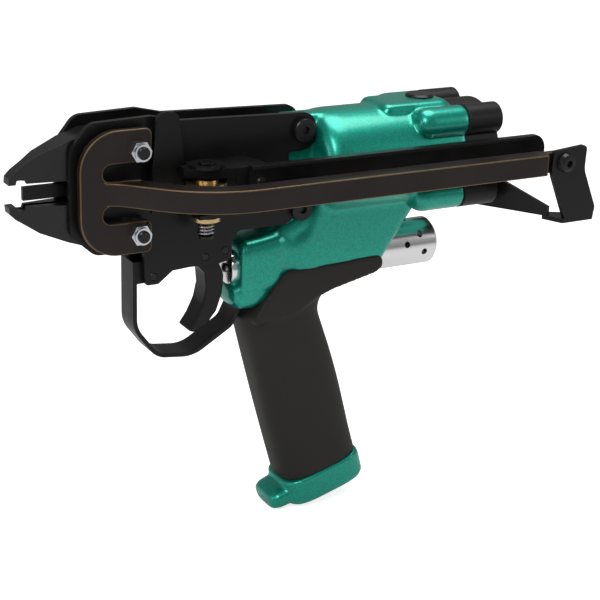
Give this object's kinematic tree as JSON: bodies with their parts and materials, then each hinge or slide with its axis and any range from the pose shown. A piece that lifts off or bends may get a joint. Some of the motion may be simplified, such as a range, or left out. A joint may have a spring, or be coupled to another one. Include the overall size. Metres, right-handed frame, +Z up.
{
  "type": "pneumatic ring stapling gun",
  "caption": "Hand-held air tool that closes wire rings: wedge-driven jaws, side rail with sprung pusher, cylinder with rear cap, trigger valve and a raked rubber grip.",
  "frame": {"origin": "centre of the air inlet mouth in the underside of the grip foot", "axes": "+X from the jaws towards the rear cap, along the cylinder; +Z up; the ring rail is on the -Y side"},
  "size_m": [0.3044, 0.0821, 0.2254],
  "materials": {
    "teal_paint": "gloss metallic teal enamel",
    "black_paint": "satin black enamel",
    "gasket": "dark fibre gasket",
    "black_screw": "black oxide socket screws",
    "zinc": "bright zinc plate",
    "dark_steel": "blackened, oiled steel",
    "hard_steel": "hardened, ground steel",
    "spring_steel": "spring wire",
    "silver": "polished aluminium",
    "brass": "brushed brass",
    "rubber": "matte dark rubber"
  },
  "bodies": {
    "frame": {"body_casting": "teal_paint", "bracket_screw": "black_screw", "cap_gasket": "gasket", "cap_screws": "black_screw", "channel_guard": "dark_steel", "cylinder_liner": "silver", "exhaust_plug": "black_screw", "exhaust_sleeve": "silver", "feed_guide": "dark_steel", "flange_spacers": "zinc", "frame_pins": "black_screw", "frame_screws_left": "black_screw", "frame_screws_right": "black_screw", "front_bumper": "rubber", "grip_foot": "teal_paint", "grip_sleeve": "rubber", "guard_rivets": "black_screw", "guard_standoffs": "zinc", "inlet_bush": "brass", "jaw_bolts": "black_screw", "jaw_springs": "spring_steel", "lock_nuts": "zinc", "port_plug": "black_screw", "rear_bracket": "dark_steel", "rear_cap": "black_paint", "return_spring": "spring_steel", "ring_rail": "dark_steel", "ring_stop": "dark_steel", "rod_bush": "brass", "side_plate_left": "dark_steel", "side_plate_right": "dark_steel", "spool_bracket": "dark_steel", "spool_clip": "black_screw", "spool_collar": "brass", "spool_cover": "black_paint", "spool_stud": "black_screw", "spool_washer": "black_screw", "stop_pin": "black_screw", "strap_screws": "black_screw", "stud_spring": "spring_steel", "trigger_guard": "dark_steel", "trigger_pin": "black_screw", "valve_bushing": "silver", "valve_spring": "spring_steel"},
    "piston": {"piston": "silver", "piston_ring": "rubber", "piston_rod": "hard_steel", "wedge_cam": "hard_steel"},
    "upper_jaw": {"upper_jaw": "hard_steel", "upper_roller_pin": "hard_steel"},
    "lower_jaw": {"lower_jaw": "hard_steel", "lower_roller_pin": "hard_steel"},
    "upper_roller": {"upper_roller": "hard_steel"},
    "lower_roller": {"lower_roller": "hard_steel"},
    "trigger": {"trigger": "dark_steel"},
    "valve": {"valve_stem": "hard_steel"},
    "pusher": {"feed_pusher": "dark_steel"},
    "spool": {"spring_spool": "brass"}
  },
  "joints": [
    {"name": "trigger_pull", "type": "hinge", "parent": "frame", "child": "trigger", "pos_m": [-0.0733, 0, 0.1438], "axis": [0, -1, 0], "range_deg": [0, 8], "stiffness_Nm_per_rad": 0.9, "springref_deg": -11.46},
    {"name": "valve_slide", "type": "slide", "parent": "frame", "child": "valve", "axis": [1, 0, 0], "range_m": [0, 0.00165], "deforming": ["valve_spring"]},
    {"name": "piston_slide", "type": "slide", "parent": "frame", "child": "piston", "axis": [-1, 0, 0], "range_m": [0, 0.03], "stiffness_N_per_m": 900, "springref_m": -0.01, "deforming": ["return_spring"]},
    {"name": "upper_jaw_close", "type": "hinge", "parent": "frame", "child": "upper_jaw", "pos_m": [-0.112, 0, 0.203], "axis": [0, -1, 0], "range_deg": [0, 4.71], "deforming": ["jaw_springs"]},
    {"name": "lower_jaw_close", "type": "hinge", "parent": "frame", "child": "lower_jaw", "pos_m": [-0.112, 0, 0.163], "axis": [0, 1, 0], "range_deg": [0, 4.71]},
    {"name": "upper_roller_spin", "type": "hinge", "parent": "upper_jaw", "child": "upper_roller", "pos_m": [-0.072, 0, 0.1923], "axis": [0, 1, 0], "range_deg": [0, 287]},
    {"name": "lower_roller_spin", "type": "hinge", "parent": "lower_jaw", "child": "lower_roller", "pos_m": [-0.072, 0, 0.1737], "axis": [0, -1, 0], "range_deg": [0, 287]},
    {"name": "feed_slide", "type": "slide", "parent": "frame", "child": "pusher", "axis": [1, 0, 0], "range_m": [0, 0.12]},
    {"name": "spool_spin", "type": "hinge", "parent": "frame", "child": "spool", "pos_m": [-0.0795, -0.0235, 0.1818], "axis": [0, 0, 1], "range_deg": [0, 765]}
  ],
  "couplings": [
    {"joint": "valve_slide", "follows": "trigger_pull", "m_per_rad": 0.0115},
    {"joint": "upper_jaw_close", "follows": "piston_slide", "rad_per_m": 2.734},
    {"joint": "lower_jaw_close", "follows": "piston_slide", "rad_per_m": 2.734},
    {"joint": "upper_roller_spin", "follows": "piston_slide", "rad_per_m": 166.7},
    {"joint": "lower_roller_spin", "follows": "piston_slide", "rad_per_m": 166.7},
    {"joint": "spool_spin", "follows": "feed_slide", "rad_per_m": 111.1}
  ]
}
